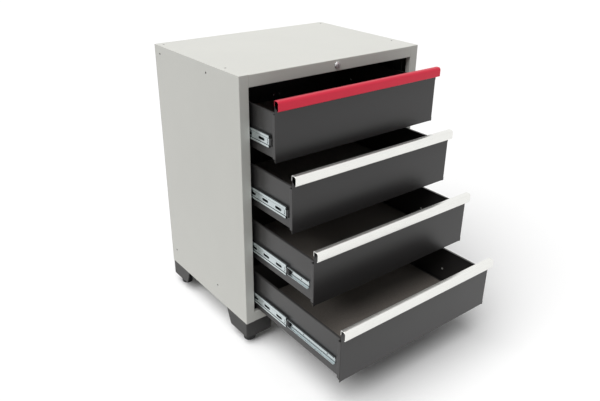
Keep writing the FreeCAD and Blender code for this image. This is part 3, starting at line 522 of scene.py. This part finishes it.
def rounded_outline(corners, radii, steps):
    """Closed outline with an arc at every corner.

    At a corner c with unit directions u and v to its neighbours and half angle h between them, the
    arc's centre is c + r / sin(h) along the bisector, and the arc runs from c + u r / tan(h) to
    c + v r / tan(h), turning evenly.
    """
    corners = np.asarray(corners, float)
    radii = np.asarray(radii, float)[:, None]
    back = np.roll(corners, 1, axis=0) - corners
    ahead = np.roll(corners, -1, axis=0) - corners
    back /= np.linalg.norm(back, axis=1, keepdims=True)
    ahead /= np.linalg.norm(ahead, axis=1, keepdims=True)
    half = np.arccos(np.clip((back * ahead).sum(axis=1, keepdims=True), -1, 1)) / 2
    bisector = back + ahead
    bisector /= np.linalg.norm(bisector, axis=1, keepdims=True)
    centres = corners + bisector * radii / np.sin(half)
    start = corners + back * radii / np.tan(half) - centres
    end = corners + ahead * radii / np.tan(half) - centres
    first = np.arctan2(start[:, 1], start[:, 0])
    turn = np.arctan2(end[:, 1], end[:, 0]) - first
    turn = (turn + np.pi) % (2 * np.pi) - np.pi
    angles = first[:, None] + turn[:, None] * np.linspace(0, 1, steps)
    arcs = centres[:, None, :] + radii[:, :, None] * np.stack((np.cos(angles), np.sin(angles)), axis=2)
    return arcs.reshape(-1, 2)


def mesh_object(name, points, faces, materials, face_materials=None, smooth_angle=35):
    """A mesh from arrays, smooth except across edges sharper than the angle in degrees."""
    mesh = bpy.data.meshes.new(name)
    mesh.from_pydata(points, [], faces)
    for material in materials:
        mesh.materials.append(material)
    if face_materials is not None:
        mesh.polygons.foreach_set("material_index", np.asarray(face_materials, np.int32))
    mesh.polygons.foreach_set("use_smooth", np.ones(len(mesh.polygons), bool))
    mesh.set_sharp_from_angle(angle=math.radians(smooth_angle))
    mesh.update()
    made = bpy.data.objects.new(name, mesh)
    bpy.context.collection.objects.link(made)
    return made


def ring_faces(rings, around):
    """Quads between neighbouring rings of a closed grid, as an index array."""
    ring, step = np.meshgrid(np.arange(rings - 1), np.arange(around), indexing="ij")
    following = (step + 1) % around
    quads = np.stack((ring * around + step, ring * around + following,
                      (ring + 1) * around + following, (ring + 1) * around + step), axis=2)
    return quads.reshape(-1, 4)


def carried_profile(outline, low, high):
    """Points and faces of an outline (y, z) carried straight along X, with a flat cap at each end."""
    count = len(outline)
    ends = np.array([low, high])
    points = np.empty((2, count, 3))
    points[:, :, 0] = ends[:, None]
    points[:, :, 1:] = outline[None]
    sides = ring_faces(2, count)
    caps = [list(range(count))[::-1], list(range(count, 2 * count))]
    return points.reshape(-1, 3), sides.tolist(), caps


def turned(radius, height, around):
    """Points and faces of a closed surface of revolution about Z.

    radius is an array of rings, or of rings by angles. Ring i stands at height[i]. The first and
    the last ring close on a pole on the axis.
    """
    rings = len(height)
    angle = np.arange(around) * (2 * np.pi / around)
    radius = np.broadcast_to(radius if np.ndim(radius) == 2 else np.asarray(radius)[:, None], (rings, around))
    points = np.empty((rings, around, 3))
    points[:, :, 0] = radius * np.cos(angle)
    points[:, :, 1] = radius * np.sin(angle)
    points[:, :, 2] = np.asarray(height)[:, None]
    sides = ring_faces(rings, around).tolist()
    poles = np.array([[0, 0, height[0]], [0, 0, height[-1]]])
    low_pole, high_pole = rings * around, rings * around + 1
    step = np.arange(around)
    following = (step + 1) % around
    last = (rings - 1) * around
    fans = np.stack((following, step, np.full(around, low_pole)), axis=1).tolist()
    fans += np.stack((last + step, last + following, np.full(around, high_pole)), axis=1).tolist()
    return np.concatenate((points.reshape(-1, 3), poles)), sides, fans


def dome(radius, height):
    """Screw or rivet head about Z: r = R cos(t), z = H sin(t), closed flat a little underneath."""
    turn = np.linspace(0, DOME_TURN, DOME_RINGS)
    rings = np.concatenate(([radius * DOME_FOOT_RADIUS], radius * np.cos(turn)))
    levels = np.concatenate(([-height * DOME_FOOT_DEPTH], height * np.sin(turn)))
    return turned(rings, levels, HEAD_STEPS)


def placed_domes(places, axis, radius, height):
    """Points and faces of several equal domes. axis is the direction that each dome faces."""
    points, sides, fans = dome(radius, height)
    faces = sides + fans
    axis = np.asarray(axis, float)
    side = np.cross(axis, (0.0, 0.0, 1.0))
    turn = np.stack((side, np.cross(axis, side), axis), axis=0)
    spun = points @ turn
    all_points = np.concatenate([spun + place for place in np.asarray(places, float)])
    starts = range(0, len(all_points), len(points))
    return all_points, [[start + index for index in face] for start in starts for face in faces]


# Operators: one for each group of pieces

class CABINET_OT_carcass(Operator):
    """Coat the panels and brackets, paint shade inside the carcass and on the posts, and finish the screws"""

    bl_idname = "cabinet.carcass"
    bl_label = "Carcass"

    def execute(self, context):
        colours = finishes()
        shell = carcass_material("Light powder coat", tuple(colours.light_coat), tuple(colours.inside_shade),
                                 roughness=(0.40, 0.50), dust=0.06)
        for node in PANELS:
            dress(node, shell)
        # The slide posts take the dark colour that paints the shade inside the carcass
        dress("slide_posts", coat_material("Dark coat of painted inside shade", tuple(colours.inside_shade)))
        bracket = coat_material("Bracket coat", tuple(colours.bracket_coat), roughness=(0.42, 0.55))
        for corner in CORNERS:
            dress("foot_bracket_" + corner, bracket)
        dress("panel_screws", metal_material("Screw steel", tuple(colours.dull_steel),
                                             stretch=(500.0, 500.0, 500.0), roughness=(0.30, 0.45)))
        return {"FINISHED"}


class CABINET_OT_drawers(Operator):
    """Coat the drawer boxes and fronts, and give the liners their foam"""

    bl_idname = "cabinet.drawers"
    bl_label = "Drawers"

    def execute(self, context):
        colours = finishes()
        coat = coat_material("Dark powder coat", tuple(colours.dark_coat), roughness=(0.26, 0.34),
                             dust=0.05, gloss=0.5)
        foam = foam_material("Liner foam", tuple(colours.liner), roughness=(0.82, 0.97), dust=0.22)
        for number in DRAWERS:
            dress(f"drawer_{number}_box", coat)
            dress(f"drawer_{number}_front", coat)
            dress(f"drawer_{number}_liner", foam)
        return {"FINISHED"}


class CABINET_OT_pulls(Operator):
    """Extrude the pulls with their rounded edges"""

    bl_idname = "cabinet.pulls"
    bl_label = "Pulls"

    def execute(self, context):
        colours = finishes()
        along = (4.0, 1400.0, 1400.0)
        red = metal_material("Red anodised aluminium", tuple(colours.top_pull), stretch=along,
                             roughness=(0.34, 0.46), metallic=0.55, contrast=0.05)
        silver = metal_material("Silver anodised aluminium", tuple(colours.pull), stretch=along,
                                roughness=(0.24, 0.34), metallic=0.9, contrast=0.04)
        for number in DRAWERS:
            if number == DRAWERS[0]:
                make_pull(number, red)
            else:
                make_pull(number, silver)
        return {"FINISHED"}


def make_pull(number, material):
    """Pull of one drawer: the section of an extrusion carried from end to end.

    The section is a web behind the front, a top over the front's upper edge, a face that hangs
    from the top's rounded outer edge, and a lip under the face.
    """
    size = sizes()
    node = f"drawer_{number}_handle"
    low, high = low_corner(node), high_corner(node)
    wall, edge = size.pull_wall, size.pull_edge
    outer, back = low[1], high[1]
    face, web = outer + wall, back - wall
    top, under = high[2], high[2] - wall
    web_low = top - size.pull_web
    lip = outer + size.pull_lip
    corners = [
        (back, top), (outer, top), (outer, low[2]), (lip, low[2]), (lip, low[2] + wall),
        (face, low[2] + wall), (face, under), (web, under), (web, web_low), (back, web_low),
    ]
    inner_fold = size.pull_fold - wall
    radii = [size.pull_fold, size.pull_round, size.pull_fold, edge, edge,
             inner_fold, size.pull_round - wall, inner_fold, edge, edge]
    outline = rounded_outline(corners, radii, size.arc_steps)
    points, sides, caps = carried_profile(outline, low[0], high[0])
    pull = mesh_object(f"drawer_{number}_pull", points, sides + caps, [material])
    bevel = pull.modifiers.new("Eased ends", "BEVEL")
    bevel.width = edge
    bevel.segments = 2
    bevel.limit_method = "ANGLE"
    bevel.angle_limit = math.radians(60)
    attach(pull, f"drawer_{number}")
    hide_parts(node)


class CABINET_OT_slides(Operator):
    """Plate the rails, and finish the cages and bumpers"""

    bl_idname = "cabinet.slides"
    bl_label = "Slides"

    def execute(self, context):
        colours = finishes()
        size = sizes()
        zinc = metal_material("Bright zinc", tuple(colours.zinc),
                              stretch=RAIL_STRETCH, roughness=RAIL_ROUGHNESS)
        dull = metal_material("Cage steel", tuple(colours.dull_steel),
                              stretch=(400.0, 30.0, 400.0), roughness=(0.30, 0.45))
        plastic = coat_material("Black plastic", tuple(colours.plastic), roughness=(0.48, 0.62), dust=0.04)
        for number in DRAWERS:
            dress(f"drawer_{number}_cabinet_rails", zinc)
            middle, inner = f"drawer_{number}_middle_rails", f"drawer_{number}_drawer_rails"
            middle_web = high_corner(middle)[0] - size.step_depth
            inner_web = high_corner(f"drawer_{number}_box")[0] + size.rail_gauge
            # The middle and drawer rails get shade painted along their formed steps
            dress(middle, rail_with_step_shade(middle, middle_web, size.middle_reach))
            dress(inner, rail_with_step_shade(inner, inner_web, size.drawer_reach))
            for piece in ("outer_ball_cages", "inner_ball_cages"):
                dress(f"drawer_{number}_{piece}", dull)
            dress(f"drawer_{number}_rail_bumpers", plastic)
        return {"FINISHED"}


def rail_with_step_shade(node, web, reach):
    """Zinc with shade painted along the steps of one drawer's pair of stepped rails.

    web is how far the web's outer face is from the cabinet's middle.
    """
    size, colours = sizes(), finishes()
    faces = (float(web + size.step_margin), float(web + size.step_depth - size.step_margin))
    level = float((low_corner(node)[2] + high_corner(node)[2]) / 2)
    return rail_material("Zinc of " + node, tuple(colours.zinc), tuple(colours.rail_step_shade),
                         faces, level, reach)


class CABINET_OT_lock(Operator):
    """Finish the lock, its rod, its bar and their guides"""

    bl_idname = "cabinet.lock"
    bl_label = "Lock"

    def execute(self, context):
        colours = finishes()
        chrome = metal_material("Chrome", tuple(colours.chrome), stretch=(300.0, 300.0, 300.0),
                                roughness=(0.24, 0.34), contrast=0.03, relief=0.02)
        zinc = metal_material("Lock bar zinc", tuple(colours.zinc),
                              stretch=(700.0, 700.0, 5.0), roughness=(0.30, 0.44))
        plastic = coat_material("Guide plastic", tuple(colours.plastic), roughness=(0.50, 0.64), dust=0.04)
        dress("lock_housing", chrome)
        dress("lock_plug", chrome)
        dress("lock_rod", zinc)
        dress("lock_bar", zinc)
        dress("lock_guides", plastic)
        return {"FINISHED"}


class CABINET_OT_feet(Operator):
    """Turn the levelling feet with their threaded stems"""

    bl_idname = "cabinet.feet"
    bl_label = "Levelling feet"

    def execute(self, context):
        colours = finishes()
        plastic = coat_material("Foot plastic", tuple(colours.plastic), roughness=(0.50, 0.64), dust=0.06)
        steel = metal_material("Stem zinc", tuple(colours.zinc),
                               stretch=(500.0, 500.0, 500.0), roughness=(0.28, 0.42))
        for corner in CORNERS:
            make_foot(corner, plastic, steel)
        return {"FINISHED"}


def make_foot(corner, plastic, steel):
    """One levelling foot about its own axis.

    The pad is a turned outline. On the stem the radius is R - d |2 frac(z / p - a / 2 pi) - 1|, a
    ridge that climbs by the pitch p in each turn a, fading out at both ends.
    """
    size = sizes()
    node = "levelling_foot_" + corner
    low, high = low_corner(node), high_corner(node)
    around = size.turn_steps
    pad_top, pad_edge = size.pad_height, size.pad_radius
    corners = [(0.0, 0.0), (size.pad_base, 0.0), (pad_edge, pad_top - PAD_SHOULDER),
               (pad_edge - PAD_SHOULDER, pad_top), (0.0, pad_top)]
    rounds = [TINY_ROUND, PAD_BASE_ROUND, PAD_EDGE_ROUND, PAD_TOP_ROUND, TINY_ROUND]
    pad = rounded_outline(corners, rounds, size.arc_steps)
    pad = pad[(pad[:, 0] > size.stem_radius) | (pad[:, 1] < TINY_ROUND / 2)]
    pad = pad[pad[:, 0] > AXIS_HOLE]
    stem_low, stem_high = pad_top + STEM_STEP, high[2] - STEM_END
    levels = np.linspace(stem_low, stem_high,
                         int((stem_high - stem_low) / size.thread_pitch * RINGS_PER_PITCH))
    angle = np.arange(around) * (2 * np.pi / around)
    phase = (levels[:, None] / size.thread_pitch - angle[None] / (2 * np.pi)) % 1.0
    fade = np.clip(np.minimum(levels - stem_low, stem_high - levels) / (2 * size.thread_pitch), 0, 1)[:, None]
    thread = size.stem_radius - size.thread_depth * fade * np.abs(2 * phase - 1)
    root = np.array([[size.stem_radius], [size.stem_radius - STEM_STEP]]) * np.ones(around)
    radius = np.concatenate((pad[:, :1] * np.ones(around), root[:1], thread, root[1:]))
    height = np.concatenate((pad[:, 1], [pad_top], levels, [high[2]]))
    points, sides, fans = turned(radius, height, around)
    points[:, :2] += (low[:2] + high[:2]) / 2
    ring_of_face = np.repeat(np.arange(len(height) - 1), around)
    metal = np.concatenate((ring_of_face >= len(pad), np.zeros(around), np.ones(around)))
    foot = mesh_object(f"foot_{corner}_turned", points, sides + fans, [plastic, steel], metal,
                       smooth_angle=40)
    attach(foot, "foot_" + corner)
    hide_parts(node)


class CABINET_OT_fasteners(Operator):
    """Add the rivet heads of the catches and the screw heads of the drawer rails"""

    bl_idname = "cabinet.fasteners"
    bl_label = "Fasteners"

    def execute(self, context):
        size = sizes()
        # The heads' steel is lightened to near white, a painted glint
        steel = metal_material("Rivet steel with painted glint", tuple(finishes().rivet),
                               stretch=(600.0, 600.0, 600.0), roughness=(0.30, 0.42), metallic=0.4)
        half = size.rivet_spacing / 2
        for number in DRAWERS:
            front = low_corner(f"drawer_{number}_front")
            rear_wall = high_corner(f"drawer_{number}_liner")[1] + REAR_WALL_BEHIND_LINER
            side_wall = high_corner(f"drawer_{number}_box")[0] - size.sheet
            rivets = [(size.catch_centre + offset, rear_wall, front[2] + size.rivet_level)
                      for offset in (-half, half)]
            add_heads(number, "rivets", steel,
                      placed_domes(rivets, (0, -1, 0), size.rivet_radius, size.rivet_height))
            for side, name in ((-1, "left"), (1, "right")):
                screws = [(side * side_wall, front[1] + depth, front[2] + size.rail_level)
                          for depth in (size.rail_screw_front, size.rail_screw_rear)]
                add_heads(number, "rail_screws_" + name, steel, placed_domes(
                    screws, (-side, 0, 0), size.rail_screw_radius, size.rail_screw_height))
        return {"FINISHED"}


def add_heads(number, name, material, shape):
    """One drawer's group of small heads. shape holds their points and faces."""
    heads = mesh_object(f"drawer_{number}_{name}", *shape, [material], smooth_angle=50)
    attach(heads, f"drawer_{number}")


class CABINET_OT_stage(Operator):
    """Set up the floor, the key lamp, the sky and the camera"""

    bl_idname = "cabinet.stage"
    bl_label = "Studio"

    def execute(self, context):
        studio = context.scene.cabinet_studio
        make_floor(studio)
        make_sky(studio)
        add_sun("Key", studio.key, studio.key_angle, tuple(studio.key_place))
        make_camera(studio)
        context.scene.view_settings.view_transform = "Standard"
        return {"FINISHED"}


def seen_directly(tree):
    """1 for rays from the camera and for reflections, and 0 for light cast from face to face."""
    path = add_node(tree, "ShaderNodeLightPath")
    seen = calculate(tree, "MAXIMUM", path.outputs["Is Camera Ray"], path.outputs["Is Glossy Ray"])
    return calculate(tree, "MAXIMUM", seen, path.outputs["Is Transmission Ray"])


def make_floor(studio):
    """A large pale floor that keeps the cabinet's shadow and casts only a part of its light back."""
    half = studio.floor_size / 2
    square = [(-half, -half, 0), (half, -half, 0), (half, half, 0), (-half, half, 0)]
    material, tree, shader = start_material("Studio floor", Roughness=0.9, Specular_IOR_Level=0.1)
    colour = tuple(studio.floor_colour)
    tree.links.new(mix(tree, seen_directly(tree), scaled(colour, studio.floor_bounce), scaled(colour, 1.0)),
                   shader.inputs["Base Color"])
    floor = mesh_object("studio_floor", square, [(0, 1, 2, 3)], [material])


def make_sky(studio):
    """White to the camera and in reflections, and dimmer as a light."""
    world = bpy.data.worlds.new("Studio sky")
    world.use_nodes = True
    tree = world.node_tree
    tree.nodes.clear()
    sky = add_node(tree, "ShaderNodeBackground", values={"Color": (1, 1, 1, 1)})
    tree.links.new(spread_value(tree, seen_directly(tree), studio.sky, 1.0), sky.inputs["Strength"])
    output = add_node(tree, "ShaderNodeOutputWorld")
    tree.links.new(sky.outputs[0], output.inputs["Surface"])
    bpy.context.scene.world = world


def add_sun(name, strength, angle, towards):
    """A soft sun. towards points from the cabinet to the lamp."""
    lamp = bpy.data.lights.new(name, "SUN")
    lamp.energy = strength
    lamp.angle = angle
    made = bpy.data.objects.new(name, lamp)
    back = np.array(towards) / np.linalg.norm(towards)
    side = np.cross((0, 0, 1), back)
    side /= np.linalg.norm(side)
    up = np.cross(back, side)
    made.matrix_world = Matrix([[*row, 0] for row in np.stack((side, up, back), axis=1)] + [[0, 0, 0, 1]])
    bpy.context.collection.objects.link(made)


def make_camera(studio):
    """Camera from a heading, a downward pitch and a roll, in that order."""
    heading, pitch, roll = studio.camera_heading, studio.camera_pitch, studio.camera_roll
    level = math.cos(pitch)
    forward = np.array([math.sin(heading) * level, math.cos(heading) * level, -math.sin(pitch)])
    right = np.array([math.cos(heading), -math.sin(heading), 0.0])
    up = np.cross(right, forward)
    turned_right = math.cos(roll) * right + math.sin(roll) * up
    turned_up = -math.sin(roll) * right + math.cos(roll) * up
    rows = np.stack((turned_right, turned_up, -forward, np.array(studio.camera_place)), axis=1)
    camera = bpy.data.cameras.new("Camera")
    camera.sensor_fit = "HORIZONTAL"
    camera.sensor_width = 36.0
    camera.lens = studio.lens
    camera.clip_end = 200.0
    made = bpy.data.objects.new("Camera", camera)
    made.matrix_world = Matrix([list(row) for row in rows] + [[0, 0, 0, 1]])
    bpy.context.collection.objects.link(made)
    bpy.context.scene.camera = made


class CABINET_PT_panel(Panel):
    """Sidebar panel with the cabinet's settings and steps"""

    bl_idname = "CABINET_PT_panel"
    bl_label = "Tool cabinet"
    bl_space_type = "VIEW_3D"
    bl_region_type = "UI"
    bl_category = "Cabinet"

    def draw(self, context):
        scene = context.scene
        for settings in (scene.cabinet_finish, scene.cabinet_sizes, scene.cabinet_studio):
            column = self.layout.column()
            for name in settings.__annotations__:
                column.prop(settings, name)
        for step in STEPS:
            self.layout.operator(step.bl_idname)


SETTINGS = {"cabinet_finish": CabinetFinish, "cabinet_sizes": CabinetSizes, "cabinet_studio": CabinetStudio}
STEPS = (CABINET_OT_stage, CABINET_OT_carcass, CABINET_OT_drawers, CABINET_OT_pulls, CABINET_OT_slides,
         CABINET_OT_lock, CABINET_OT_feet, CABINET_OT_fasteners)
CLASSES = tuple(SETTINGS.values()) + STEPS + (CABINET_PT_panel,)


def register():
    """Add the classes, and the settings to every scene."""
    for item in CLASSES:
        bpy.utils.register_class(item)
    for name, group in SETTINGS.items():
        setattr(bpy.types.Scene, name, PointerProperty(type=group))


def unregister():
    """Take away the settings and the classes."""
    for name in SETTINGS:
        delattr(bpy.types.Scene, name)
    for item in reversed(CLASSES):
        bpy.utils.unregister_class(item)


def main():
    """Register, and run each step in order."""
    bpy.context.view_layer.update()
    register()
    for step in STEPS:
        getattr(bpy.ops.cabinet, step.bl_idname.split(".")[1])()


if __name__ == "__main__":
    main()
